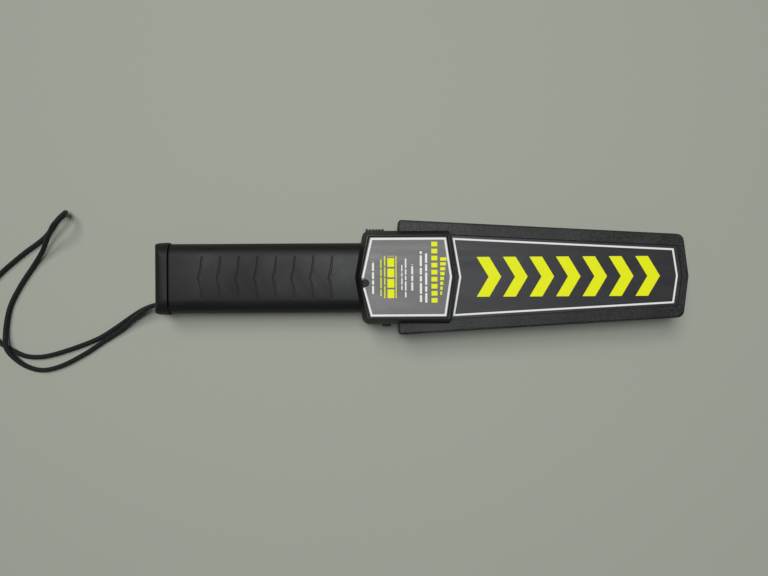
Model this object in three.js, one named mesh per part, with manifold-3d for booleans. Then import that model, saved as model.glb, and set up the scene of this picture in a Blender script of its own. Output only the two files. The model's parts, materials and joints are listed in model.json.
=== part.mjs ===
// Hand-held security wand: a search paddle, an electronics housing and a battery handle with a wrist strap.
// Millimetres. X runs along the wand with the paddle tip at +X, Y across it, +Z out of its front face.
// The origin is under the middle of the wand, on the surface that its back rests on.
import * as THREE from 'three';
import { mergeVertices } from 'three/addons/utils/BufferGeometryUtils.js';
import Module from 'manifold-3d';

const wasm = await Module();
wasm.setup();

// ---------- driving dimensions ----------
const HALF_LENGTH = 204;            // wand is 408 long
const WALL = 2.4;                   // moulded wall thickness
const GAP = 0.3;                    // clearance between neighbouring pieces
const SPLIT_Z = 17;                 // parting line between front and rear mouldings
const FRONT_Z = SPLIT_Z + GAP / 2;  // where front mouldings begin
const REAR_Z = SPLIT_Z - GAP / 2;   // where rear mouldings end

const PADDLE = {
  left: -15.2, shoulder: 200, tip: HALF_LENGTH, back: 10, front: 33, halfLeft: 43.5, halfRight: 31.5,
};
const HANDLE = { left: -188.7, right: -41, back: 3, front: 32, half: 26.8, radius: 11 };
const HOUSING = {
  tip: -44, corner: -38.4, right: 22.8, rightTip: 26.8, half: 31.4, top: 41.3, base: 33, chamfer: 3.6,
};
const BOARD = { bottom: 34, top: 35.6 };
const POD_FLOOR = 2.2;              // inner floor of the rear pod
// The cap meets the handle on a plane that leans by the rake, in mm along X for each mm of height.
const DOOR = {
  right: -189, rake: 0.15, slant: 5.6, half: 27.9, back: 2, front: 33.1, radius: 12.4, corner: 10,
};

const STRAP_DIAMETER = 3.8;
const STRAP_EXIT = { y: -20.3, low: 6.5, high: 15.5, halfWidth: 2.4 };
// Wrist strap centre line: out of the handle corner, round one loose loop on the surface, and back in.
const STRAP_ROUTE = [
  [-184.2, -20.3, 9.0], [-206, -20.5, 8.6], [-216, -23.4, 6.6], [-228, -29.9, 3.4], [-242, -39.3, 2.1],
  [-256, -47.6, 2.0], [-288, -59, 1.95], [-302, -61.8, 1.95], [-314, -61, 1.95], [-324.5, -56.4, 1.95],
  [-334.5, -50, 1.95], [-345, -38, 1.95], [-348.5, -21, 1.95], [-343.5, -6, 1.95], [-334.5, 4.6, 1.95],
  [-316, 20.5, 1.95], [-297, 35, 2.2], [-287.2, 48.6, 2.4], [-280.7, 53.3, 4.6], [-277.2, 53, 10.1],
  [-277.4, 49.3, 15.2], [-282.1, 43.2, 17.4], [-288.9, 35.3, 12.7], [-298, 22.5, 5.8], [-306, 12.5, 2.6],
  [-317.6, -4.5, 2.0], [-326.3, -22, 2.0], [-329.2, -43.3, 3.4], [-326.6, -54.8, 6.1], [-320.2, -64, 3.7],
  [-311.2, -70.1, 2.1], [-300, -72.4, 1.95], [-286, -69.4, 1.95], [-266, -59.4, 1.95], [-250.8, -49.5, 2.1],
  [-235.9, -40.1, 3.4], [-226.2, -32.6, 6.0], [-215.3, -25, 10.3], [-206, -20.6, 12.8], [-184.2, -20.3, 13.0],
];

const CHEVRON = { first: -166.5, pitch: 14.05, count: 8, halfSpan: 16.5, knee: 6.6, width: 1.2, depth: 0.6 };
const TRIMMER = { x: -39.6, y: -4.3, hole: 2.875 };
const SWITCH = { left: -39.6, width: 13.8, travel: 3.8, low: 21, high: 29, outer: 36.8, floor: 33.6 };
const BUTTON = { left: -27.4, right: -20.6, low: 22.1, high: 27.9, outer: -37.2 };
const SIDE = HOUSING.half + HOUSING.chamfer;  // half width of the housing's side walls

// ---------- looks ----------
const LOOK = {
  shell: { color: 0x2b2c2b, roughness: 0.55, metalness: 0 },
  grain: { color: 0x3a3b3b, roughness: 0.7, metalness: 0 },
  label: { color: 0x414142, roughness: 0.45, metalness: 0 },
  panel: { color: 0x6c6c66, roughness: 0.4, metalness: 0 },
  rubber: { color: 0x1c1c1c, roughness: 0.8, metalness: 0 },
  board: { color: 0x1d5a34, roughness: 0.5, metalness: 0 },
  copper: { color: 0xa5612f, roughness: 0.35, metalness: 1 },
  steel: { color: 0x9b9da0, roughness: 0.35, metalness: 1 },
  nylon: { color: 0xd9d6cc, roughness: 0.6, metalness: 0 },
  foam: { color: 0x4a4a4a, roughness: 0.95, metalness: 0 },
  strap: { color: 0x111212, roughness: 0.85, metalness: 0 },
  battery: { color: 0x20272e, roughness: 0.35, metalness: 0.6 },
  red: { color: 0xb01818, roughness: 0.25, metalness: 0 },
  amber: { color: 0xd08a12, roughness: 0.25, metalness: 0 },
  green: { color: 0x1c9a3a, roughness: 0.25, metalness: 0 },
};

// ---------- solids ----------
const wand = new THREE.Group();

function solid(geometry) {
  const bare = geometry.clone();
  bare.deleteAttribute('normal');
  bare.deleteAttribute('uv');
  const merged = mergeVertices(bare, 1e-4);
  return new wasm.Manifold(new wasm.Mesh({
    numProp: 3,
    vertProperties: new Float32Array(merged.attributes.position.array),
    triVerts: new Uint32Array(merged.index.array),
  }));
}

function add(name, look, shape) {
  const mesh = shape.getMesh();
  const geometry = new THREE.BufferGeometry();
  geometry.setAttribute('position', new THREE.BufferAttribute(mesh.vertProperties, 3));
  geometry.setIndex(new THREE.BufferAttribute(mesh.triVerts, 1));
  geometry.computeVertexNormals();
  const part = new THREE.Mesh(geometry, new THREE.MeshStandardMaterial(LOOK[look]));
  part.name = name;
  wand.add(part);
}

function block(x0, x1, y0, y1, z0, z1) {
  const box = new THREE.BoxGeometry(x1 - x0, y1 - y0, z1 - z0);
  return solid(box.translate((x0 + x1) / 2, (y0 + y1) / 2, (z0 + z1) / 2));
}

// Cylinder between two stations on an axis; the other two coordinates follow in x, y, z order.
function rod(axis, from, to, a, b, radius, sides = 16) {
  const cylinder = new THREE.CylinderGeometry(radius, radius, to - from, sides);
  const middle = (from + to) / 2;
  if (axis === 'x') cylinder.rotateZ(-Math.PI / 2).translate(middle, a, b);
  if (axis === 'y') cylinder.translate(a, middle, b);
  if (axis === 'z') cylinder.rotateX(Math.PI / 2).translate(a, b, middle);
  return solid(cylinder);
}

// Closed outline through the points; each corner is rounded by setting its curve back along both sides.
function outline(points, setbacks) {
  const shape = new THREE.Shape();
  const corners = points.map(([x, y]) => new THREE.Vector2(x, y));
  corners.forEach((corner, i) => {
    const before = corners.at(i - 1);
    const after = corners[(i + 1) % corners.length];
    const setback = Array.isArray(setbacks) ? setbacks[i] : setbacks;
    const start = before.clone().sub(corner).setLength(setback).add(corner);
    const end = after.clone().sub(corner).setLength(setback).add(corner);
    if (i === 0) shape.moveTo(start.x, start.y);
    else shape.lineTo(start.x, start.y);
    if (setback > 0) shape.quadraticCurveTo(corner.x, corner.y, end.x, end.y);
  });
  shape.closePath();
  return shape;
}

// Mirrors a half outline, listed on the +Y side, to the -Y side.
function mirrored(half) {
  const lower = half.filter(([, y]) => y > 0).map(([x, y]) => [x, -y]).reverse();
  return [...half, ...lower].reverse();
}

function roundedRect(x0, x1, y0, y1, radius, steps = 4) {
  const shape = new THREE.Shape();
  const quarter = Math.PI / 2;
  const centres = [[x1 - radius, y0 + radius], [x1 - radius, y1 - radius], [x0 + radius, y1 - radius],
    [x0 + radius, y0 + radius]];
  centres.forEach(([cx, cy], corner) => {
    for (let i = 0; i <= steps; i += 1) {
      const angle = (corner - 1) * quarter + (i / steps) * quarter;
      const x = cx + radius * Math.cos(angle);
      const y = cy + radius * Math.sin(angle);
      if (corner === 0 && i === 0) shape.moveTo(x, y);
      else shape.lineTo(x, y);
    }
  });
  shape.closePath();
  return shape;
}

// Upright slab of an XY outline; an edge value rounds or chamfers its top and bottom edges inward.
function slab(shape, z0, z1, edge = 0, steps = 2) {
  const geometry = new THREE.ExtrudeGeometry(shape, {
    depth: z1 - z0 - 2 * edge, curveSegments: 4, bevelEnabled: edge > 0,
    bevelThickness: edge, bevelSize: edge, bevelOffset: -edge, bevelSegments: steps,
  });
  return solid(geometry.translate(0, 0, z0 + edge));
}

// Slab that spreads outward below its top outline by a sloped band, then runs straight.
function spreading(shape, top, spread, drop, depth) {
  const geometry = new THREE.ExtrudeGeometry(shape, {
    depth, curveSegments: 3, bevelThickness: drop, bevelSize: spread, bevelSegments: 1,
  });
  return solid(geometry.translate(0, 0, top - drop - depth));
}

function alongX(shape, x0, x1) {
  const geometry = new THREE.ExtrudeGeometry(shape, { depth: x1 - x0, bevelEnabled: false });
  const turn = new THREE.Matrix4().makeBasis(
    new THREE.Vector3(0, 1, 0), new THREE.Vector3(0, 0, 1), new THREE.Vector3(1, 0, 0));
  return solid(geometry.applyMatrix4(turn).translate(x0, 0, 0));
}

function alongY(shape, y0, y1) {
  const geometry = new THREE.ExtrudeGeometry(shape, { depth: y1 - y0, bevelEnabled: false });
  const turn = new THREE.Matrix4().makeBasis(
    new THREE.Vector3(1, 0, 0), new THREE.Vector3(0, 0, 1), new THREE.Vector3(0, -1, 0));
  return solid(geometry.applyMatrix4(turn).translate(0, y1, 0));
}

function tube(points, diameter, sides, steps) {
  const path = new THREE.CatmullRomCurve3(points.map((point) => new THREE.Vector3(...point)));
  const section = new THREE.Shape();
  for (let i = 0; i < sides; i += 1) {
    const angle = ((i + 0.5) / sides) * 2 * Math.PI;
    const x = (diameter / 2) * Math.cos(angle);
    const y = (diameter / 2) * Math.sin(angle);
    if (i === 0) section.moveTo(x, y);
    else section.lineTo(x, y);
  }
  section.closePath();
  return solid(new THREE.ExtrudeGeometry(section, { extrudePath: path, steps, bevelEnabled: false }));
}

function lathe(profile, sides) {
  return new THREE.LatheGeometry(profile.map(([r, h]) => new THREE.Vector2(r, h)), sides);
}

function cut(shape, ...tools) {
  return tools.reduce((left, tool) => left.subtract(tool), shape);
}

function join(shape, ...more) {
  return more.reduce((whole, piece) => whole.add(piece), shape);
}

// ---------- paddle ----------
const paddleSlope = (PADDLE.halfLeft - PADDLE.halfRight) / (PADDLE.shoulder - PADDLE.left);
const paddleHalf = (x) => PADDLE.halfLeft - (x - PADDLE.left) * paddleSlope;

function paddleOutline(inset) {
  const left = PADDLE.left + inset;
  const right = PADDLE.shoulder - inset;
  const half = [[left, paddleHalf(left) - inset], [right, paddleHalf(right) - inset], [PADDLE.tip - inset, 0]];
  const cornerSetback = 5 - inset;
  const endSetback = 3.4 - inset * 0.7;
  return outline(mirrored(half), [endSetback, cornerSetback, 0, cornerSetback, endSetback]);
}

const PADDLE_BOSSES = [[50, 5.2], [180, 5.2]].flatMap(([x, inset]) => {
  const y = paddleHalf(x) - inset;
  return [[x, y], [x, -y]];
});
const wireOpening = block(-10, 20, -26, 26, 25, 35);
const endOpening = block(PADDLE.left - 1, PADDLE.left + 4, -24, 24, 12.5, 30.5);

function paddleLabelOutline(margin) {
  return outline([
    [25 - margin, 31.3 + margin], [30 - margin, 0], [25 - margin, -31.3 - margin],
    [195 + margin, -22.3 - margin], [198.2 + margin, 0], [195 + margin, 22.3 + margin],
  ], 0);
}

function paddleFrontShell() {
  const belowSplit = block(-300, 300, -60, 60, -10, FRONT_Z);
  const skin = cut(slab(paddleOutline(0), 5, PADDLE.front, 2, 3), belowSplit);
  const hollow = slab(paddleOutline(WALL), 0, PADDLE.front - WALL - 0.6);
  const bosses = PADDLE_BOSSES.map(([x, y]) => rod('z', FRONT_Z, 31, x, y, 3));
  const holes = PADDLE_BOSSES.map(([x, y]) => rod('z', 0, 27, x, y, 1.5, 10));
  const recess = slab(paddleLabelOutline(0.4), PADDLE.front - 1.4, PADDLE.front + 5);
  return cut(join(cut(skin, hollow), ...bosses), recess, wireOpening, endOpening, ...holes);
}

const POD_SCREWS_RIGHT = [[15, 24], [15, -24]];
const POD_SCREWS_LEFT = [[-27, 12], [-27, -12]];

function paddleRearShell() {
  const aboveSplit = block(-300, 300, -60, 60, REAR_Z, 60);
  const skin = cut(slab(paddleOutline(0), PADDLE.back, 40, 2.2), aboveSplit);
  const hollow = slab(paddleOutline(WALL), PADDLE.back + 2.2, 60);
  const places = [...PADDLE_BOSSES, ...POD_SCREWS_RIGHT];
  const bosses = places.map(([x, y]) => rod('z', PADDLE.back + 1, REAR_Z, x, y, 3.6));
  const holes = places.map(([x, y]) => rod('z', 0, 30, x, y, 1.5, 10));
  const sinks = PADDLE_BOSSES.map(([x, y]) => rod('z', 0, PADDLE.back + 2.4, x, y, 2.9, 14));
  const magnetOpening = block(-10, 20, -14, 14, 9, 13);
  return cut(join(cut(skin, hollow), ...bosses), endOpening, magnetOpening, ...holes, ...sinks);
}

function coilOutline(inset) {
  const left = 34 + inset;
  const right = 192 - inset;
  const leftHalf = paddleHalf(34) - 9.5 - inset;
  const rightHalf = paddleHalf(192) - 9.5 - inset;
  const corners = [[left, -leftHalf], [right, -rightHalf], [right, rightHalf], [left, leftHalf]];
  return outline(corners, 11 - inset * 0.7);
}

function coilRing(outer, inner, z0, z1) {
  return cut(slab(coilOutline(outer), z0, z1), slab(coilOutline(inner), z0 - 1, z1 + 1));
}

add('paddle_front_shell', 'grain', paddleFrontShell());
add('paddle_rear_shell', 'grain', paddleRearShell());
add('paddle_label', 'label', slab(paddleLabelOutline(0), PADDLE.front - 1.2, PADDLE.front - 0.8));
add('coil_former', 'nylon', cut(coilRing(0, 9, PADDLE.back + 2.5, 24), coilRing(2, 7, 16, 25)));
add('search_coil', 'copper', coilRing(2.3, 6.7, 16.3, 23));

// ---------- housing ----------
function plateauOutline(inset) {
  // The right end runs long here; the slanted end face is cut afterwards.
  const left = HOUSING.corner + inset;
  const right = HOUSING.right + 12;
  const half = HOUSING.half - inset;
  return outline([[left, -half], [right, -half], [right, half], [left, half], [HOUSING.tip + inset, 0]],
    [1.6, 1.6, 1.6, 1.6, 1]);
}

function housingEnd(inset) {
  const reach = 60;
  return slab(outline([[HOUSING.rightTip - inset, 0], [HOUSING.right - inset, SIDE + 2], [reach, SIDE + 2],
    [reach, -SIDE - 2], [HOUSING.right - inset, -SIDE - 2]], 0), -5, 60);
}

const handleSection = (inset) => roundedRect(-HANDLE.half + inset, HANDLE.half - inset, HANDLE.back + inset,
  HANDLE.front - inset, HANDLE.radius - inset * 0.7);
const handleClearance = alongX(handleSection(-GAP), -60, HANDLE.right + 1);
const pastShoulder = PADDLE.left - GAP;

const LED_SITES = [-36.9, -33.7, -30.5];
const LED_Z = 25;
const JACK = { x: -18.5, z: 25, radius: 2.1 };

function labelOutline(margin) {
  return outline([
    [-42.5 - margin, 0], [-36 - margin, -29.5 - margin], [20.4 + margin, -29.5 - margin],
    [24.8 + margin, 0], [20.4 + margin, 29.5 + margin], [-36 - margin, 29.5 + margin],
  ], 0);
}

function housingFrontCover() {
  const { top, base, chamfer } = HOUSING;
  const outer = spreading(plateauOutline(0), top, chamfer, top - base, 20);
  const inner = spreading(plateauOutline(WALL), top - 2.2, chamfer, top - base, 24);
  const belowSplit = block(-80, 80, -60, 60, -20, FRONT_Z);
  const overPaddle = block(pastShoulder, 80, -60, 60, -20, PADDLE.front + GAP);
  const hollow = cut(inner, housingEnd(WALL));
  const bosses = POD_SCREWS_LEFT.map(([x, y]) => rod('z', FRONT_Z, top - 2, x, y, 3));
  const holes = POD_SCREWS_LEFT.map(([x, y]) => rod('z', 0, 32, x, y, 1.5, 10));
  const recess = slab(labelOutline(0.75), top - 1.2, top + 5);
  const adjusterHole = rod('z', top - 5, top + 5, TRIMMER.x, TRIMMER.y, TRIMMER.hole, 20);
  const adjusterPocket = rod('z', base, top - 2.2, TRIMMER.x, TRIMMER.y, 3.1, 20);
  const switchRecess = block(SWITCH.left - 0.4, SWITCH.left + SWITCH.width + SWITCH.travel + 0.4,
    SWITCH.floor, 60, SWITCH.low - 0.4, SWITCH.high + 0.4);
  const switchSlot = block(-34.9, -26.7, 30, 60, 23.4, 26.6);
  const buttonHole = block(BUTTON.left - GAP, BUTTON.right + GAP, -60, -30,
    BUTTON.low - GAP, BUTTON.high + GAP);
  const ledHoles = LED_SITES.flatMap((x) => [
    rod('y', -60, -30, x, LED_Z, 1.4, 12), rod('y', -32.8, -30, x, LED_Z, 1.53, 12)]);
  const jackHole = rod('y', 30, 60, JACK.x, JACK.z, JACK.radius + GAP, 14);
  const cover = join(cut(outer, belowSplit, overPaddle, housingEnd(0), hollow), ...bosses);
  return cut(cover, handleClearance, recess, adjusterHole, adjusterPocket, switchRecess, switchSlot, buttonHole,
    jackHole, ...ledHoles, ...holes);
}

const POD = { tip: -43, corner: -37, half: 30, right: 21, rightTip: 24.5, spread: 5, drop: 9 };

function podOutline(inset) {
  return outline([
    [POD.tip + inset, 0], [POD.corner + inset, -POD.half + inset], [POD.right - inset, -POD.half + inset],
    [POD.rightTip - inset, 0], [POD.right - inset, POD.half - inset], [POD.corner + inset, POD.half - inset],
  ], [1, 2, 2, 1, 2, 2]);
}

function podBody(inset, floor) {
  const geometry = new THREE.ExtrudeGeometry(podOutline(inset), {
    depth: 30, curveSegments: 3, bevelThickness: POD.drop, bevelSize: POD.spread, bevelSegments: 3,
  });
  return solid(geometry.translate(0, 0, floor + POD.drop));
}

const SPEAKER = { x: -8, radius: 14 };

function housingRearCover() {
  const aboveSplit = block(-80, 80, -60, 60, REAR_Z, 80);
  const underPaddle = block(pastShoulder, 80, -60, 60, PADDLE.back - GAP, 80);
  const places = [...POD_SCREWS_LEFT, ...POD_SCREWS_RIGHT];
  const bossTop = (x) => (x < pastShoulder ? REAR_Z : PADDLE.back - GAP);
  const bosses = places.map(([x, y]) => rod('z', 1, bossTop(x), x, y, 3.6));
  const holes = places.map(([x, y]) => rod('z', -1, 30, x, y, 1.5, 10));
  const sinks = places.map(([x, y]) => rod('z', -1, 3.4, x, y, 2.9, 14));
  const slots = [-2, -1, 0, 1, 2].map((k) => {
    const x = SPEAKER.x + 4 * k;
    return block(x - 0.9, x + 0.9, -9, 9, -1, POD_FLOOR + 1);
  });
  const skin = cut(podBody(0, 0), aboveSplit, underPaddle);
  const bowl = join(cut(skin, podBody(WALL, POD_FLOOR)), ...bosses);
  return cut(bowl, handleClearance, ...holes, ...sinks, ...slots);
}

const labelHole = rod('z', 35, 45, TRIMMER.x, TRIMMER.y, TRIMMER.hole, 20);
add('housing_front_cover', 'shell', housingFrontCover());
add('housing_label', 'panel', cut(slab(labelOutline(0), HOUSING.top - 1, HOUSING.top - 0.6), labelHole));
add('housing_rear_cover', 'shell', housingRearCover());

// ---------- electronics ----------
function boardOutline() {
  return outline([[-43, 0], [-36.6, -28], [18.5, -28], [21.5, 0], [18.5, 28], [-36.6, 28]], 0);
}

const boardHoles = POD_SCREWS_LEFT.map(([x, y]) => rod('z', 30, 40, x, y, 3.4));
add('main_board', 'board', cut(slab(boardOutline(), BOARD.bottom, BOARD.top), ...boardHoles));
add('controller_chip', 'rubber', block(-5, 5, 3, 13, BOARD.top + GAP, BOARD.top + 1.8));
add('filter_capacitor', 'steel', rod('z', 25.5, BOARD.bottom - GAP, 8, -10, 4));
add('tuning_inductor', 'copper', rod('z', 27.5, BOARD.bottom - GAP, -3, -8, 4.6));
add('coil_connector', 'nylon', block(8, 16, 4, 12, 28, BOARD.bottom - GAP));

const trimmerBore = rod('z', 36.6, 40, TRIMMER.x, TRIMMER.y, 1.3, 12);
const trimmerSlot = block(TRIMMER.x - 3, TRIMMER.x + 3, TRIMMER.y - 0.4, TRIMMER.y + 0.4, 38.3, 41);
add('trimmer_body', 'rubber', cut(rod('z', BOARD.top + GAP, 37.6, TRIMMER.x, TRIMMER.y, 2.8), trimmerBore));
add('trimmer_screw', 'rubber', cut(join(
  rod('z', 37.9, 39.2, TRIMMER.x, TRIMMER.y, 2.3, 18),
  rod('z', 36.9, 38, TRIMMER.x, TRIMMER.y, 1, 12)), trimmerSlot));

function switchKnob() {
  const { left, width, low, high, outer, floor } = SWITCH;
  const cap = block(left, left + width, floor + GAP, outer, low, high);
  const stem = block(-34.4, -31, 31, floor + 1, 23.7, 26.3);
  const ribs = [0, 1, 2, 3, 4].map((k) => {
    const x = left + 2.3 * (k + 1);
    return block(x - 0.5, x + 0.5, outer - 0.8, outer + 1, low - 1, high + 1);
  });
  return cut(join(cap, stem), ...ribs);
}

add('power_switch_body', 'rubber', cut(block(-36.2, -24.6, 25.6, 32.2, 20.6, 29.4),
  block(-35.2, -26.2, 30.4, 33, 23.4, 26.6)));
add('power_switch_knob', 'rubber', switchKnob());

add('push_button_cap', 'rubber', join(
  block(BUTTON.left, BUTTON.right, BUTTON.outer, -32, BUTTON.low, BUTTON.high),
  block(BUTTON.left - 1.3, BUTTON.right + 1.3, -32.3, -31.2, BUTTON.low - 1.3, BUTTON.high + 1.3)));
add('tact_switch', 'steel', block(-27, -21, -29.7, -25.5, 22, 28));

const ledProfile = [[0, 0], [0.85, 0.35], [1.2, 1.1], [1.2, 3.9], [1.45, 3.9], [1.45, 4.9], [0, 4.9]];
['green', 'amber', 'red'].forEach((colour, i) => {
  const geometry = lathe(ledProfile, 12).translate(LED_SITES[i], -SIDE - 1.2, LED_Z);
  add(`led_${colour}`, colour, solid(geometry));
});

add('headphone_jack', 'rubber', cut(join(
  rod('y', 30, SIDE + 0.2, JACK.x, JACK.z, JACK.radius),
  block(JACK.x - 2.6, JACK.x + 2.6, 22, 32.2, 22, 28)), rod('y', 25, 40, JACK.x, JACK.z, 1.3, 12)));

add('speaker', 'steel', join(
  rod('z', 3.1, 5, SPEAKER.x, 0, SPEAKER.radius - 0.4, 24), rod('z', 4.5, 8.8, SPEAKER.x, 0, 8.5, 20)));
add('speaker_gasket', 'foam', cut(rod('z', 2.4, 2.9, SPEAKER.x, 0, SPEAKER.radius - 0.4, 24),
  rod('z', 2, 4, SPEAKER.x, 0, 12, 24)));

const MOTOR = { y: 20.5, z: 7.6, radius: 3.5 };
add('vibration_motor', 'steel', rod('x', -37, -26, MOTOR.y, MOTOR.z, MOTOR.radius));
add('motor_clip', 'nylon', cut(block(-34, -29, MOTOR.y - 4.6, MOTOR.y + 4.6, POD_FLOOR + GAP, MOTOR.z),
  rod('x', -40, -20, MOTOR.y, MOTOR.z, MOTOR.radius + GAP)));

const weightDisc = cut(rod('x', -24.4, -20.6, MOTOR.y, MOTOR.z, 3.3, 18),
  block(-30, -20, MOTOR.y - 5, MOTOR.y + 5, MOTOR.z + 0.9, MOTOR.z + 6));
add('eccentric_weight', 'steel', join(weightDisc, rod('x', -25.7, -20.6, MOTOR.y, MOTOR.z, 0.8, 10)));

// ---------- handle ----------
const HANDLE_BOSSES = [-110, -70];
const TONGUE = {
  half: 6, upperLow: 27.9, upperHigh: 29.2, upperRoot: -193, lowerLow: 5.9, lowerHigh: 7, lowerRoot: -197,
};

// Where the leaning joint between handle and cap stands at a height, for a plane that starts at the given X.
const jointX = (start, z) => start - DOOR.rake * (DOOR.front - z);

function pastJoint(start) {
  const side = outline([[start - 20, -5], [jointX(start, -5), -5], [jointX(start, 40), 40],
    [start - 20, 40]], 0);
  return alongY(side, -60, 60);
}

// A shallow groove like an opened arrowhead: a point in the middle, then nearly straight arms.
function chevron(vertexX) {
  const { halfSpan, knee, width } = CHEVRON;
  const front = [[vertexX + 2.9, -halfSpan], [vertexX + 1.9, -knee], [vertexX, 0], [vertexX + 1.9, knee],
    [vertexX + 2.9, halfSpan]];
  const back = front.map(([x, y]) => [x + width, y]).reverse();
  return outline([...front, ...back].reverse(), 0);
}

function handleBody() {
  const skin = alongX(handleSection(0), HANDLE.left - 6, HANDLE.right);
  const hollow = alongX(handleSection(WALL), HANDLE.left + 2.5, HANDLE.right + 1);
  const { left } = HANDLE;
  const batteryMouth = block(left - 7, left + 4, -14, 14, 7.5, 26.5);
  const strapMouth = block(left - 7, left + 9, STRAP_EXIT.y - STRAP_EXIT.halfWidth,
    STRAP_EXIT.y + STRAP_EXIT.halfWidth, STRAP_EXIT.low, STRAP_EXIT.high);
  const reach = TONGUE.half + 0.4;
  const upperSlot = block(left - 7, left + 4, -reach, reach, TONGUE.upperLow - GAP,
    TONGUE.upperHigh + 0.5);
  const lowerSlot = block(left - 7, left + 4, -reach, reach, TONGUE.lowerLow - GAP,
    TONGUE.lowerHigh + 0.7);
  const capStep = cut(pastJoint(left + 1), alongX(handleSection(0.9), left - 10, left + 10));
  return cut(skin, pastJoint(left), hollow, batteryMouth, strapMouth, upperSlot, lowerSlot, capStep);
}

function handleFrontShell() {
  const bosses = HANDLE_BOSSES.map((x) => rod('z', FRONT_Z, HANDLE.front - 2, x, 0, 3));
  const holes = HANDLE_BOSSES.map((x) => rod('z', 0, 27, x, 0, 1.5, 10));
  const grooves = Array.from({ length: CHEVRON.count }, (_, i) =>
    slab(chevron(CHEVRON.first + i * CHEVRON.pitch), HANDLE.front - CHEVRON.depth, HANDLE.front + 5));
  const upper = cut(handleBody(), block(-300, 0, -60, 60, -10, FRONT_Z));
  return cut(join(upper, ...bosses), ...holes, ...grooves);
}

function handleRearShell() {
  const bosses = HANDLE_BOSSES.map((x) => rod('z', HANDLE.back + 1, REAR_Z, x, 0, 3.6));
  const holes = HANDLE_BOSSES.map((x) => rod('z', 0, 27, x, 0, 1.5, 10));
  const sinks = HANDLE_BOSSES.map((x) => rod('z', 0, HANDLE.back + 3.4, x, 0, 2.9, 14));
  const lower = cut(handleBody(), block(-300, 0, -60, 60, REAR_Z, 60));
  return cut(join(lower, ...bosses), ...holes, ...sinks);
}

// The end cap's outer form, or its hollow when inset; its end face leans back towards the front side.
function doorForm(inset, right) {
  const { half, back, front, slant, radius, corner } = DOOR;
  const left = -HALF_LENGTH + inset;
  const low = back + inset;
  const high = front - inset;
  const plan = outline([[left, -half + inset], [right, -half + inset], [right, half - inset],
    [left, half - inset]], [corner - inset, 0, 0, corner - inset]);
  const side = outline([[left, low], [jointX(right, low), low], [jointX(right, high), high],
    [left + slant, high], [left, back + 10]], [5 - inset, 0, 0, 6.5 - inset, 3]);
  return slab(plan, low, high)
    .intersect(alongY(side, -half, half))
    .intersect(alongX(roundedRect(-half + inset, half - inset, low, high, radius - inset * 0.7), left, right));
}

function batteryDoor() {
  const { right, back, front } = DOOR;
  const { half, upperLow, upperHigh, upperRoot, lowerLow, lowerHigh, lowerRoot } = TONGUE;
  const shell = cut(doorForm(0, right), doorForm(WALL, right + 1));
  const notch = block(-HALF_LENGTH - 1, right + 1, STRAP_EXIT.y - 5.7, STRAP_EXIT.y + STRAP_EXIT.halfWidth,
    -5, STRAP_EXIT.high);
  return join(cut(shell, notch),
    block(upperRoot, jointX(right, upperLow) - GAP, -half, half, upperLow, front - 1),
    block(upperRoot, -184.2, -half, half, upperLow, upperHigh),
    block(lowerRoot, jointX(right, back) - GAP, -half, half, back + 1, lowerHigh),
    block(lowerRoot, -186.4, -half, half, lowerLow, lowerHigh));
}

add('handle_front_shell', 'shell', handleFrontShell());
add('handle_rear_shell', 'shell', handleRearShell());
add('battery_door', 'shell', batteryDoor());

const BATTERY = { x0: -185.8, x1: -137.4, half: 13.2, z0: 8.1, z1: 25.6 };
add('battery_tray', 'rubber', cut(block(-185.8, -134, -15.6, 15.6, 6.2, 19),
  block(-190, -130, -13.7, 13.7, 7.8, 30)));
add('battery_9v', 'battery', join(
  slab(roundedRect(BATTERY.x0, BATTERY.x1, -BATTERY.half, BATTERY.half, 1.2, 1), BATTERY.z0, BATTERY.z1),
  rod('x', BATTERY.x1 - 1, BATTERY.x1 + 2.6, 6.35, 17, 2.9, 12),
  rod('x', BATTERY.x1 - 1, BATTERY.x1 + 2.6, -6.35, 17, 3.9, 6)));
add('battery_snap', 'rubber', block(-134.4, -131.4, -12.6, 12.6, 9, 24.6));
add('battery_foam_pad', 'foam', block(-188.5, -186.1, -12, 12, 9, 25));

const lead = (points) => tube(points, 1.4, 6, 14);
add('battery_lead_red', 'red', lead([[-131, 5, 18], [-118, 6, 17], [-95, 8, 16], [-60, 8, 17], [-42, 7, 22],
  [-36, 5, 29], [-35, 4, 33.6]]));
add('battery_lead_black', 'rubber', lead([[-131, -5, 18], [-118, -6, 17], [-95, -8, 16], [-60, -8, 17],
  [-42, -7, 22], [-34, -5, 29], [-32, -4, 33.6]]));
add('coil_lead', 'foam', lead([[33.6, 8, 19], [27, 8, 19], [20, 8, 20], [14, 8, 23], [12, 8, 27.7]]));

// ---------- wrist strap ----------
add('strap_anchor_pin', 'steel', rod('z', 7.3, 16.4, -182.2, STRAP_EXIT.y, 1.5, 12));
add('wrist_strap', 'strap', tube(STRAP_ROUTE, STRAP_DIAMETER, 8, 80));

// ---------- screws ----------
// Pan-head screw standing head down, with a cross recess in its head.
function screw(x, y, headZ, length) {
  const head = rod('z', headZ, headZ + 1.8, x, y, 2.6, 14);
  const shank = rod('z', headZ + 1, headZ + length, x, y, 1.2, 8);
  const slotA = block(x - 1.5, x + 1.5, y - 0.35, y + 0.35, headZ - 1, headZ + 0.8);
  const slotB = block(x - 0.35, x + 0.35, y - 1.5, y + 1.5, headZ - 1, headZ + 0.8);
  return cut(join(head, shank), slotA, slotB);
}

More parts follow.
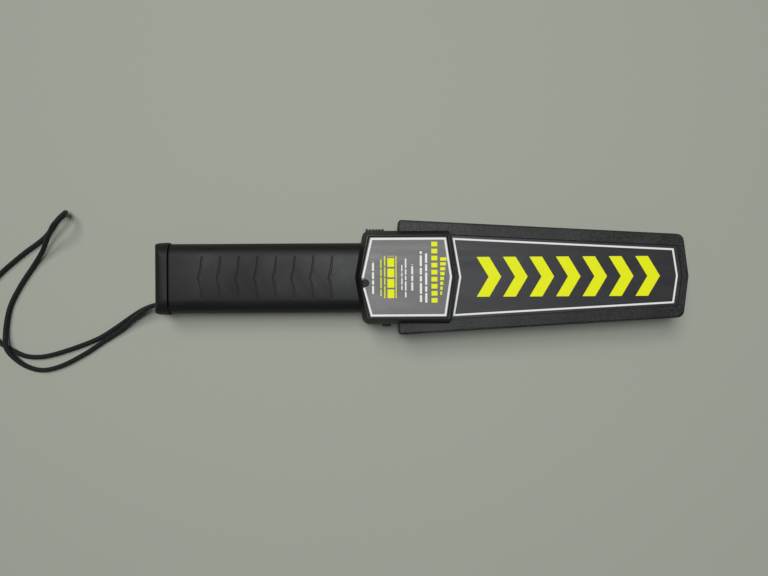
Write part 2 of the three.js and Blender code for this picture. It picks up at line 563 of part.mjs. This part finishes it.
const numbered = (name, places, headZ, length) => places.forEach(([x, y], i) => {
  add(`${name}_${i + 1}`, 'steel', screw(x, y, headZ, length));
});
numbered('paddle_screw', PADDLE_BOSSES, PADDLE.back + 0.3, 15);
numbered('housing_screw', [...POD_SCREWS_LEFT, ...POD_SCREWS_RIGHT], 1.3, 14.5);
numbered('handle_screw', HANDLE_BOSSES.map((x) => [x, 0]), HANDLE.back + 1.3, 18);

export default wand;
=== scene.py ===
"""Looks of a hand-held security wand that lies on its back, seen from straight above."""
import json
import math

import bmesh
import bpy
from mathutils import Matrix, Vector


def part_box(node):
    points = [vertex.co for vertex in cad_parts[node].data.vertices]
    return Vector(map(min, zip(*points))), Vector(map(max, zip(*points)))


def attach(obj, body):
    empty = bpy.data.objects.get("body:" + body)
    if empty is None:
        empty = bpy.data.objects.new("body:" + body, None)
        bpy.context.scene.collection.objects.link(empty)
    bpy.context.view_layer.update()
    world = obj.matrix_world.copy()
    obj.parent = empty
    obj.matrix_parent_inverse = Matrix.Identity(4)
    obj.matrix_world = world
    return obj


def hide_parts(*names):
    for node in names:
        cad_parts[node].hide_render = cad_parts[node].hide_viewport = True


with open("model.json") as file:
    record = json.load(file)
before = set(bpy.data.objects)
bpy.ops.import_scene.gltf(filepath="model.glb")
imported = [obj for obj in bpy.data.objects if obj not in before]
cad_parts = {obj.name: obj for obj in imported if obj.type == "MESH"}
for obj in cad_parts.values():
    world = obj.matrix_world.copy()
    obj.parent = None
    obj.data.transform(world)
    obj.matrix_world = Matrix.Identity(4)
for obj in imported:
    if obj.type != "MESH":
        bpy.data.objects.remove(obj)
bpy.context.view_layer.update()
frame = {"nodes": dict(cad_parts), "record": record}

MM = 0.001
WAND = "wand"


# ---------- camera, floor and light ----------
CAMERA_PLACE_MM = (-25.8, -8, 484)
CAMERA_ROLL = -0.33     # degrees
FLOOR_REACH = 12.0      # metres from the middle to each side
WORLD_STRENGTH = 0.09
KEY_SPREAD = 26         # degrees, for soft shadows
OVERHEAD_SIZE = 0.6     # metres across


def make_camera():
    data = bpy.data.cameras.new("camera")
    data.lens = 28.125
    data.sensor_width = 36
    camera = bpy.data.objects.new("camera", data)
    camera.location = Vector(CAMERA_PLACE_MM) * MM
    camera.rotation_euler = (0, 0, math.radians(CAMERA_ROLL))
    bpy.context.scene.collection.objects.link(camera)
    bpy.context.scene.camera = camera


def make_light(name, kind, place, power, colour):
    """A light at a place, aimed at the origin; the caller sets how wide it is."""
    data = bpy.data.lights.new(name, kind)
    data.energy = power
    data.color = colour
    light = bpy.data.objects.new(name, data)
    light.location = place
    light.rotation_euler = (Vector((0, 0, 0)) - Vector(place)).to_track_quat("-Z", "Y").to_euler()
    bpy.context.scene.collection.objects.link(light)
    return data


def make_stage():
    mesh = bpy.data.meshes.new("floor")
    corners = [(x * FLOOR_REACH, y * FLOOR_REACH, 0) for x, y in ((-1, -1), (1, -1), (1, 1), (-1, 1))]
    mesh.from_pydata(corners, [], [(0, 1, 2, 3)])
    floor = bpy.data.objects.new("floor", mesh)
    bpy.context.scene.collection.objects.link(floor)
    mesh.materials.append(matte("floor_finish", (0.40, 0.425, 0.36), 0.75))
    bpy.context.scene.view_settings.view_transform = "Standard"
    world = bpy.data.worlds.new("world")
    world.use_nodes = True
    background = world.node_tree.nodes["Background"]
    background.inputs["Color"].default_value = (0.93, 0.96, 1.0, 1)
    background.inputs["Strength"].default_value = WORLD_STRENGTH
    bpy.context.scene.world = world
    key = make_light("key", "SUN", (-0.45, 0.70, 1.30), 1.05, (1.0, 0.985, 0.95))
    key.angle = math.radians(KEY_SPREAD)
    overhead = make_light("overhead", "AREA", (-0.10, 0.20, 1.50), 11, (0.96, 0.98, 1.0))
    overhead.shape = "DISK"
    overhead.size = OVERHEAD_SIZE


# ---------- materials ----------
class Finish:
    """A node material built from the shader outwards; textures read the object's own coordinates."""

    def __init__(self, name, colour, roughness, metallic=0.0, coat=0.0, ior=1.5):
        self.material = bpy.data.materials.new(name)
        self.material.use_nodes = True
        self.tree = self.material.node_tree
        self.shader = self.tree.nodes["Principled BSDF"]
        self.place = self.node("ShaderNodeTexCoord").outputs["Object"]
        self.set("Base Color", (*colour, 1))
        self.set("Roughness", roughness)
        self.set("Metallic", metallic)
        self.set("Coat Weight", coat)
        self.set("IOR", ior)
        self.last_bump = None

    def node(self, kind):
        return self.tree.nodes.new(kind)

    def set(self, socket, value):
        self.shader.inputs[socket].default_value = value

    def link(self, start, end):
        self.tree.links.new(start, end)

    def noise(self, per_mm, detail=3.0, stretch=(1, 1, 1)):
        mapping = self.node("ShaderNodeMapping")
        mapping.inputs["Scale"].default_value = stretch
        texture = self.node("ShaderNodeTexNoise")
        texture.inputs["Scale"].default_value = per_mm / MM
        texture.inputs["Detail"].default_value = detail
        self.link(self.place, mapping.inputs["Vector"])
        self.link(mapping.outputs["Vector"], texture.inputs["Vector"])
        return texture.outputs["Fac"]

    def cells(self, per_mm, feature="F1"):
        texture = self.node("ShaderNodeTexVoronoi")
        texture.feature = feature
        texture.inputs["Scale"].default_value = per_mm / MM
        self.link(self.place, texture.inputs["Vector"])
        return texture.outputs["Distance"]

    def ramp(self, value, low, high, to_low=0.0, to_high=1.0):
        node = self.node("ShaderNodeMapRange")
        node.inputs["From Min"].default_value = low
        node.inputs["From Max"].default_value = high
        node.inputs["To Min"].default_value = to_low
        node.inputs["To Max"].default_value = to_high
        self.link(value, node.inputs["Value"])
        return node.outputs["Result"]

    def math(self, kind, a, b):
        node = self.node("ShaderNodeMath")
        node.operation = kind
        for socket, value in zip(node.inputs, (a, b)):
            if isinstance(value, float):
                socket.default_value = value
            else:
                self.link(value, socket)
        return node.outputs[0]

    def tint(self, mask, colour):
        """Lays another colour over the base where the mask is high."""
        mix = self.node("ShaderNodeMix")
        mix.data_type = "RGBA"
        base = self.shader.inputs["Base Color"]
        if base.is_linked:
            self.link(base.links[0].from_socket, mix.inputs["A"])
        else:
            mix.inputs["A"].default_value = base.default_value
        mix.inputs["B"].default_value = (*colour, 1)
        self.link(mask, mix.inputs["Factor"])
        self.link(mix.outputs["Result"], base)

    def rough(self, value):
        self.link(value, self.shader.inputs["Roughness"])

    def bump(self, height, depth_mm, strength=1.0):
        node = self.node("ShaderNodeBump")
        node.inputs["Distance"].default_value = depth_mm * MM
        node.inputs["Strength"].default_value = strength
        self.link(height, node.inputs["Height"])
        if self.last_bump:
            self.link(self.last_bump, node.inputs["Normal"])
        self.last_bump = node.outputs["Normal"]
        self.link(self.last_bump, self.shader.inputs["Normal"])

    def edges(self, radius_mm=0.7):
        """High along convex and concave edges, from how far the rounded normal leans off the true one."""
        bevel = self.node("ShaderNodeBevel")
        bevel.samples = 4
        bevel.inputs["Radius"].default_value = radius_mm * MM
        geometry = self.node("ShaderNodeNewGeometry")
        dot = self.node("ShaderNodeVectorMath")
        dot.operation = "DOT_PRODUCT"
        self.link(bevel.outputs["Normal"], dot.inputs[0])
        self.link(geometry.outputs["Normal"], dot.inputs[1])
        return self.ramp(dot.outputs["Value"], 0.998, 0.93)


def matte(name, colour, roughness):
    finish = Finish(name, colour, roughness)
    finish.bump(finish.noise(0.4), 0.05, 0.3)
    return finish.material


def moulded(name, colour, roughness, grain_mm, grain_depth, glint_and_shade, wear):
    """Moulded ABS: eroded grain with painted glints on its crowns and painted shade in its valleys, faint
    flow and handling marks, rubbed edges.
    """
    finish = Finish(name, colour, roughness, ior=1.42)
    grain = finish.noise(1 / grain_mm, 4)
    fine = finish.noise(2.6 / grain_mm, 2)
    broad = finish.noise(0.02, 3)
    scuffs = finish.noise(0.35, 5, (1, 9, 4))
    # the colour of the painted glints on the grain's crowns
    crown = tuple(min(c * 4 + 0.02, 1) for c in colour)
    rubbed = tuple(min(c * 2.2 + 0.01, 1) for c in colour)
    # painted glints: the crowns of the coarse and fine grain are lightened to stand in for sparkle
    # highlights
    finish.tint(finish.ramp(grain, 0.5, 0.68, 0, glint_and_shade), crown)
    finish.tint(finish.ramp(fine, 0.52, 0.7, 0, glint_and_shade * 0.6), crown)
    # painted shade: the grain's valleys are darkened
    finish.tint(finish.ramp(grain, 0.46, 0.34, 0, glint_and_shade), tuple(c * 0.25 for c in colour))
    finish.tint(finish.ramp(broad, 0.4, 0.75, 0, 0.2), rubbed)
    finish.tint(finish.ramp(scuffs, 0.66, 0.74, 0, 0.3), rubbed)
    handling = finish.ramp(broad, 0.35, 0.65, wear * 0.3, wear)
    finish.tint(finish.math("MULTIPLY", finish.edges(), handling), rubbed)
    shine = finish.ramp(broad, 0.3, 0.7, roughness - 0.07, roughness + 0.09)
    finish.rough(finish.math("ADD", shine, finish.ramp(scuffs, 0.5, 0.8, 0.0, 0.12)))
    finish.bump(grain, grain_depth)
    finish.bump(scuffs, 0.03, 0.4)
    return finish.material


def grained(name, colour, roughness, pebble_mm):
    """Coarse leather grain of a textured mould: painted glints on the crowns in patches, painted shade in
    the valleys, worn edges.
    """
    finish = Finish(name, colour, roughness, ior=1.42)
    height = finish.ramp(finish.cells(1 / pebble_mm), 0.08, 0.62, 1.0, 0.0)
    patches = finish.noise(0.45, 4)
    broad = finish.noise(0.03, 3)
    # the colour of the painted glints on the pebbles' crowns
    crown = tuple(c * 4 + 0.03 for c in colour)
    worn = tuple(c * 2.5 + 0.02 for c in colour)
    # painted glints: pebble crowns are lightened in patches to stand in for sparkle highlights
    glint_patches = finish.ramp(patches, 0.38, 0.66, 0.2, 1.0)
    finish.tint(finish.math("MULTIPLY", finish.ramp(height, 0.45, 0.9, 0, 0.75), glint_patches), crown)
    # painted shade: the valleys between the pebbles are darkened
    finish.tint(finish.ramp(height, 0.3, 0.05, 0, 0.85), tuple(c * 0.2 for c in colour))
    finish.tint(finish.ramp(broad, 0.4, 0.7, 0, 0.25), worn)
    handling = finish.ramp(patches, 0.4, 0.6, 0.1, 0.5)
    finish.tint(finish.math("MULTIPLY", finish.edges(), handling), worn)
    finish.rough(finish.ramp(patches, 0.3, 0.7, roughness - 0.08, roughness + 0.1))
    finish.bump(height, 0.12)
    finish.bump(finish.noise(3.5, 2), 0.02)
    return finish.material


def film(name, colour, roughness):
    """Printed polycarbonate label: very fine stipple, wipe marks and a few pale scratches."""
    finish = Finish(name, colour, roughness, ior=1.5)
    lighter = tuple(min(c * 1.5 + 0.03, 1) for c in colour)
    wipes = finish.noise(0.05, 4, (0.4, 2.5, 1))
    finish.tint(finish.ramp(wipes, 0.45, 0.75, 0, 0.35), lighter)
    finish.tint(finish.ramp(finish.noise(0.9, 5), 0.5, 0.72, 0, 0.3), lighter)
    scratches = finish.noise(0.25, 2, (0.5, 14, 1))
    finish.tint(finish.ramp(scratches, 0.72, 0.76, 0, 0.3), lighter)
    finish.rough(finish.ramp(wipes, 0.3, 0.7, roughness - 0.06, roughness + 0.1))
    finish.bump(finish.noise(4, 2), 0.02)
    return finish.material


def ink(name, colour, roughness=0.6):
    """Screen-printed ink: slight mottling and wear at the print's own grain."""
    finish = Finish(name, colour, roughness, ior=1.36)
    darker = tuple(c * 0.8 for c in colour)
    finish.tint(finish.ramp(finish.noise(0.6, 5), 0.55, 0.8, 0, 0.5), darker)
    finish.rough(finish.ramp(finish.noise(0.1), 0.3, 0.7, roughness - 0.05, roughness + 0.1))
    finish.bump(finish.noise(3, 2), 0.015)
    return finish.material


def metal(name, colour, roughness):
    finish = Finish(name, colour, roughness, metallic=1.0)
    brushed = finish.noise(1.5, 4, (1, 8, 1))
    finish.tint(finish.ramp(brushed, 0.4, 0.7, 0, 0.5), tuple(c * 0.6 for c in colour))
    finish.rough(finish.ramp(brushed, 0.3, 0.7, roughness - 0.08, roughness + 0.15))
    finish.bump(brushed, 0.02)
    return finish.material


def rubbery(name, colour, roughness):
    finish = Finish(name, colour, roughness)
    finish.set("Sheen Weight", 0.04)
    lighter = tuple(min(c * 2 + 0.008, 1) for c in colour)
    finish.tint(finish.ramp(finish.noise(0.15, 4), 0.5, 0.75, 0, 0.5), lighter)
    finish.rough(finish.ramp(finish.noise(0.3), 0.3, 0.7, roughness - 0.1, roughness + 0.08))
    finish.bump(finish.noise(3, 3), 0.04)
    return finish.material


def braid_fabric():
    """Polyester braid: matt black yarn, paler in mottled patches, with fine filaments."""
    finish = Finish("strap_braid", (0.004, 0.004, 0.0045), 0.75, ior=1.4)
    finish.set("Sheen Weight", 0.12)
    finish.set("Sheen Roughness", 0.5)
    finish.tint(finish.ramp(finish.noise(0.8, 4), 0.5, 0.8, 0, 0.6), (0.014, 0.014, 0.015))
    finish.rough(finish.ramp(finish.noise(1.2), 0.3, 0.7, 0.62, 0.85))
    finish.bump(finish.noise(6, 4, (1, 1, 3)), 0.08)
    return finish.material


def winding():
    """Enamelled copper: fine turns as rings of the height coordinate."""
    finish = Finish("coil_winding", (0.62, 0.24, 0.09), 0.3, metallic=1.0)
    wave = finish.node("ShaderNodeTexWave")
    wave.bands_direction = "Z"
    wave.inputs["Scale"].default_value = 1 / (2 * MM)
    finish.link(finish.place, wave.inputs["Vector"])
    finish.tint(finish.ramp(wave.outputs["Fac"], 0.0, 0.5, 0.7, 0), (0.2, 0.05, 0.02))
    finish.rough(finish.ramp(finish.noise(0.5), 0.3, 0.7, 0.25, 0.45))
    finish.bump(wave.outputs["Fac"], 0.15)
    return finish.material


def circuit_board():
    finish = Finish("board_mask", (0.012, 0.11, 0.04), 0.35, coat=0.4)
    finish.tint(finish.ramp(finish.cells(0.35, "DISTANCE_TO_EDGE"), 0.02, 0.06, 0.8, 0), (0.03, 0.22, 0.09))
    finish.rough(finish.ramp(finish.noise(0.4), 0.3, 0.7, 0.3, 0.45))
    finish.bump(finish.noise(1.5), 0.03)
    return finish.material


def lens(name, colour):
    finish = Finish(name, colour, 0.18, coat=0.5)
    finish.set("Transmission Weight", 0.25)
    finish.tint(finish.ramp(finish.noise(1.2), 0.4, 0.7, 0, 0.4), tuple(c * 0.5 for c in colour))
    finish.rough(finish.ramp(finish.noise(2), 0.3, 0.7, 0.12, 0.26))
    finish.bump(finish.noise(2), 0.01)
    return finish.material


MATERIALS = {
    "grain": grained("grained_abs", (0.02, 0.0203, 0.0206), 0.5, 0.85),
    "shell": moulded("satin_abs", (0.003, 0.0032, 0.003), 0.52, 0.5, 0.035, 0.12, 0.2),
    "paddle_print": film("paddle_film", (0.016, 0.016, 0.018), 0.5),
    "panel_print": film("panel_film", (0.115, 0.114, 0.108), 0.42),
    "rubber": rubbery("black_rubber", (0.006, 0.006, 0.0065), 0.68),
    "nylon": moulded("natural_nylon", (0.68, 0.66, 0.58), 0.5, 0.8, 0.03, 0.1, 0.1),
    "copper": winding(),
    "board": circuit_board(),
    "steel": metal("plated_steel", (0.62, 0.62, 0.63), 0.32),
    "screw_steel": metal("black_zinc", (0.16, 0.16, 0.17), 0.38),
    "foam": rubbery("foam", (0.06, 0.06, 0.062), 0.9),
    "battery_case": metal("battery_can", (0.1, 0.13, 0.17), 0.3),
    "strap": braid_fabric(),
    "lens_green": lens("green_lens", (0.03, 0.32, 0.09)),
    "lens_amber": lens("amber_lens", (0.6, 0.26, 0.02)),
    "lens_red": lens("red_lens", (0.42, 0.015, 0.015)),
    "lead_red": rubbery("red_insulation", (0.4, 0.012, 0.012), 0.45),
}
YELLOW = ink("yellow_ink", (0.93, 0.98, 0.002))
WHITE = ink("white_ink", (0.92, 0.92, 0.9))


# ---------- pieces ----------
def piece_of(name, mesh, body, slot, material=None, smooth=True):
    piece = bpy.data.objects.new(name, mesh)
    bpy.context.scene.collection.objects.link(piece)
    mesh.materials.clear()
    mesh.materials.append(material or MATERIALS[slot])
    for face in mesh.polygons:
        face.use_smooth = smooth
    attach(piece, body)
    return piece


EDGE_SEGMENTS = 2
EDGE_ANGLE = 28         # degrees; softer corners than this stay as they are
PLAIN_EDGE_MM = 0.12
EDGE_MM = {
    "paddle_front_shell": 0.35,
    "paddle_rear_shell": 0.4,
    "housing_front_cover": 0.4,
    "housing_rear_cover": 0.4,
    "handle_front_shell": 0.28,
    "handle_rear_shell": 0.3,
    "battery_door": 0.4,
    "paddle_label": 0.06,
    "housing_label": 0.06,
    "power_switch_knob": 0.2,
    "push_button_cap": 0.4,
    "headphone_jack": 0.15,
}


def soften(piece, width_mm):
    """Clean faces, a small rounded edge and area-weighted normals."""
    weld = piece.modifiers.new("weld", "WELD")
    weld.merge_threshold = 1e-6
    clean = piece.modifiers.new("clean", "DECIMATE")
    clean.decimate_type = "DISSOLVE"
    clean.angle_limit = math.radians(0.6)
    bevel = piece.modifiers.new("edge", "BEVEL")
    bevel.width = width_mm * MM
    bevel.segments = EDGE_SEGMENTS
    bevel.limit_method = "ANGLE"
    bevel.angle_limit = math.radians(EDGE_ANGLE)
    bevel.use_clamp_overlap = False
    normals = piece.modifiers.new("normals", "WEIGHTED_NORMAL")
    normals.weight = 60


def dress_frame():
    """Gives every CAD node its material, smooth shading and softened edges."""
    slots = {entry["node"]: entry["material_slot"] for entry in frame["record"]["subparts"]}
    for name, node in frame["nodes"].items():
        node.data.materials.clear()
        node.data.materials.append(MATERIALS[slots[name]])
        for layer in [a for a in node.data.attributes if a.name == "custom_normal"]:
            node.data.attributes.remove(layer)
        for face in node.data.polygons:
            face.use_smooth = True
        soften(node, EDGE_MM.get(name, PLAIN_EDGE_MM))


def prism(name, loops, low, high, material, slot):
    """Flat pieces of print: each loop of XY points, in millimetres, becomes a closed thin plate."""
    builder = bmesh.new()
    for loop in loops:
        face = builder.faces.new([builder.verts.new((x * MM, y * MM, low)) for x, y in loop])
        face.normal_update()
        if face.normal.z > 0:
            face.normal_flip()
        lifted = bmesh.ops.extrude_face_region(builder, geom=[face])
        points = [item for item in lifted["geom"] if isinstance(item, bmesh.types.BMVert)]
        bmesh.ops.translate(builder, verts=points, vec=(0, 0, high - low))
    bmesh.ops.recalc_face_normals(builder, faces=builder.faces)
    mesh = bpy.data.meshes.new(name)
    builder.to_mesh(mesh)
    builder.free()
    return piece_of(name, mesh, WAND, slot, material, smooth=False)


def band(points, width, closed):
    """A mitred strip, inside the line of points, as quads that share their corners' mitres."""
    count = len(points)
    inner = []
    for i, point in enumerate(points):
        here = Vector(point)
        before = Vector(points[i - 1]) if closed or i > 0 else None
        after = Vector(points[(i + 1) % count]) if closed or i < count - 1 else None
        sides = []
        if before is not None:
            sides.append((here - before).normalized())
        if after is not None:
            sides.append((after - here).normalized())
        normals = [Vector((-side.y, side.x)) for side in sides]
        mitre = sum(normals, Vector((0, 0))).normalized()
        inner.append(here + mitre * width / mitre.dot(normals[0]))
    last = count if closed else count - 1
    quads = []
    for i in range(last):
        j = (i + 1) % count
        quads.append([points[i], points[j], tuple(inner[j]), tuple(inner[i])])
    return quads


# ---------- wrist strap ----------
STRAP_DIAMETER = 3.8
# The strap's centre line in millimetres: out of the handle corner, round one loose loop, and back in.
STRAP_ROUTE = [
    (-184.2, -20.3, 9.0), (-206, -20.5, 8.6), (-216, -23.4, 6.6), (-228, -29.9, 3.4),
    (-242, -39.3, 2.1), (-256, -47.6, 2.0), (-288, -59, 1.95), (-302, -61.8, 1.95),
    (-314, -61, 1.95), (-324.5, -56.4, 1.95), (-334.5, -50, 1.95), (-345, -38, 1.95),
    (-348.5, -21, 1.95), (-343.5, -6, 1.95), (-334.5, 4.6, 1.95), (-316, 20.5, 1.95),
    (-297, 35, 2.2), (-287.2, 48.6, 2.4), (-280.7, 53.3, 4.6), (-277.2, 53, 10.1),
    (-277.4, 49.3, 15.2), (-282.1, 43.2, 17.4), (-288.9, 35.3, 12.7), (-298, 22.5, 5.8),
    (-306, 12.5, 2.6), (-317.6, -4.5, 2.0), (-326.3, -22, 2.0), (-329.2, -43.3, 3.4),
    (-326.6, -54.8, 6.1), (-320.2, -64, 3.7), (-311.2, -70.1, 2.1), (-300, -72.4, 1.95),
    (-286, -69.4, 1.95), (-266, -59.4, 1.95), (-250.8, -49.5, 2.1), (-235.9, -40.1, 3.4),
    (-226.2, -32.6, 6.0), (-215.3, -25, 10.3), (-206, -20.6, 12.8), (-184.2, -20.3, 13.0),
]
BRAID_STEP = 0.42       # mm between rings of the braided tube
BRAID_SIDES = 32
BRAID_STRANDS = 8       # yarn crowns round the cord
BRAID_PITCH = 3.4       # mm of cord for one crossing to repeat
BRAID_RELIEF = 0.34     # mm from crown to valley
BRAID_FULLNESS = 0.7    # below 1 the crowns are broad and the valleys narrow


def catmull_rom(points, per_span=40):
    """Centripetal Catmull-Rom line through the points, with mirrored ghost points at its ends."""
    line = [2 * points[0] - points[1], *points, 2 * points[-1] - points[-2]]
    out = []
    for p0, p1, p2, p3 in zip(line, line[1:], line[2:], line[3:]):
        d0, d1, d2 = ((b - a).length ** 0.5 for a, b in ((p0, p1), (p1, p2), (p2, p3)))
        start = ((p1 - p0) / d0 - (p2 - p0) / (d0 + d1) + (p2 - p1) / d1) * d1
        end = ((p2 - p1) / d1 - (p3 - p1) / (d1 + d2) + (p3 - p2) / d2) * d1
        for k in range(per_span):
            t = k / per_span
            out.append(p1 + start * t + (3 * (p2 - p1) - 2 * start - end) * t * t
                       + (2 * (p1 - p2) + start + end) * t ** 3)
    return [*out, points[-1]]


def evenly(points, step):
    """The line again, as points about one step apart, and its length."""
    lengths = [0.0]
    for a, b in zip(points, points[1:]):
        lengths.append(lengths[-1] + (b - a).length)
    count = round(lengths[-1] / step)
    out = []
    i = 0
    for k in range(count + 1):
        want = lengths[-1] * k / count
        while i < len(points) - 2 and lengths[i + 1] < want:
            i += 1
        share = (want - lengths[i]) / (lengths[i + 1] - lengths[i])
        out.append(points[i].lerp(points[i + 1], share))
    return out, lengths[-1]


def make_strap():
    """Braided cord: a tube whose radius rises at each yarn crown of two crossing sets of helices."""
    route = [Vector(point) * MM for point in STRAP_ROUTE]
    line, length = evenly(catmull_rom(route), BRAID_STEP * MM)
    radius = STRAP_DIAMETER / 2 * MM
    normal = Vector((0, 0, 1))
    vertices = []
    for i, centre in enumerate(line):
        ahead = line[min(i + 1, len(line) - 1)] - line[max(i - 1, 0)]
        ahead.normalize()
        normal = (normal - ahead * normal.dot(ahead)).normalized()
        across = ahead.cross(normal)
        along = math.pi * i * BRAID_STEP / BRAID_PITCH
        for k in range(BRAID_SIDES):
            angle = 2 * math.pi * k / BRAID_SIDES
            turns = BRAID_STRANDS * angle / 2
            crown = max(abs(math.cos(turns + along)), abs(math.cos(turns - along)))
            reach = radius - BRAID_RELIEF * MM * (1 - crown ** BRAID_FULLNESS)
            vertices.append(centre + (normal * math.cos(angle) + across * math.sin(angle)) * reach)
    faces = [tuple(range(BRAID_SIDES))[::-1]]
    for i in range(len(line) - 1):
        a = i * BRAID_SIDES
        for k in range(BRAID_SIDES):
            n = (k + 1) % BRAID_SIDES
            faces.append((a + k, a + n, a + BRAID_SIDES + n, a + BRAID_SIDES + k))
    last = (len(line) - 1) * BRAID_SIDES
    faces.append(tuple(range(last, last + BRAID_SIDES)))
    mesh = bpy.data.meshes.new("wrist_strap_braid")
    mesh.from_pydata(vertices, [], faces)
    mesh.validate()
    strap = piece_of("wrist_strap_braid", mesh, WAND, "strap")
    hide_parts("wrist_strap")


# ---------- printed labels ----------
INK_LOW_MM = 0.01       # the print starts this far above its label
INK_HIGH_MM = 0.06


def printed(name, loops, top, ink_material, slot):
    """Thin plates of ink just above the front face of a label, whose height is given in metres."""
    return prism(name, loops, top + INK_LOW_MM * MM, top + INK_HIGH_MM * MM, ink_material, slot)


def paddle_print():
    low, high = (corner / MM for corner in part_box("paddle_label"))
    top = high.z * MM
    left, left_half = low.x + 1, high.y - 1.9
    tip, shoulder, right_half = high.x - 2.7, high.x - 5.8, high.y - 10.7
    edge = [(left, -left_half), (shoulder, -right_half), (tip, 0)]
    edge += [(shoulder, right_half), (left, left_half), (left + 5, 0)]
    printed("paddle_border", band(edge, 1.35, True), top, WHITE, "paddle_print")
    # seven bold arrowheads that point to the tip
    first, last, count = 44.0, 182.0, 7
    half_height, thick, reach = 15.0, 9.5, 9.0
    pitch = (last - first - thick - reach) / (count - 1)
    arrows = []
    for k in range(count):
        x = first + k * pitch
        arrows.append([(x, -half_height), (x + thick, -half_height), (x + thick + reach, 0.0),
                       (x + thick, half_height), (x, half_height), (x + reach, 0.0)])
    printed("paddle_arrows", arrows, top, YELLOW, "paddle_print")


def rectangle(x, y, width, height):
    return [(x, y), (x + width, y), (x + width, y + height), (x, y + height)]


def bars(columns):
    """Columns of short bars, each given as (x, width, y from, y to, bar lengths, space between)."""
    loops = []
    for x, width, y_from, y_to, lengths, space in columns:
        y = y_from
        k = 0
        while y < y_to:
            end = min(y + lengths[k % len(lengths)], y_to)
            loops.append(rectangle(x, y, width, end - y))
            y = end + space
            k += 1
    return loops


def panel_print():
    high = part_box("housing_label")[1] / MM
    top = high.z * MM
    left, right, half, tip = -35.5, 20.05, 29.0, 24.4
    # the border stops on both sides of the adjuster's hole
    edge = [(-41.2, -8.1), (left, -half), (right, -half), (tip, 0), (right, half), (left, half)]
    edge += [(-42.05, 0), (-42.0, -0.6)]
    printed("panel_border", band(edge, 1.45, False), top, WHITE, "panel_print")
    steps = [rectangle(9.3, -19 + 5.2 * k, 4.4, 3.4) for k in range(9)]
    gauge = [rectangle(15.8, -13.2 + 3.6 * k, 1.2 + 0.5 * k, 2.4) for k in range(8)]
    block_low, block_high = -15.5, 15.6
    block = bars([
        (-23.2, 5.0, block_low, block_high, [6.4], 1.3),
        (-17.2, 0.7, block_low, block_high, [40], 1),
        (-25.6, 0.8, block_low, block_high, [9, 5, 7], 0.9),
        (-28.4, 0.8, -14.0, 13.0, [5, 8], 0.9),
    ])
    printed("panel_yellow", steps + gauge + block, top, YELLOW, "panel_print")
    lines = bars([
        (4.6, 1.6, -19, 18.5, [7, 4, 9, 5], 1.1),
        (0.7, 1.6, -18.5, 19, [5, 8, 4], 1.1),
        (-5.6, 1.4, -10.0, 9.4, [6, 4], 1.0),
        (-10.3, 1.1, -15.0, 14.0, [4, 7, 3], 0.9),
        (-13.0, 0.9, -9.5, 9.0, [3, 5], 0.9),
        (-34.6, 1.5, -12.4, 11.8, [6, 3, 5], 1.0),
    ])
    printed("panel_lines", lines, top, WHITE, "panel_print")


make_camera()
make_strap()
make_stage()
dress_frame()
paddle_print()
panel_print()
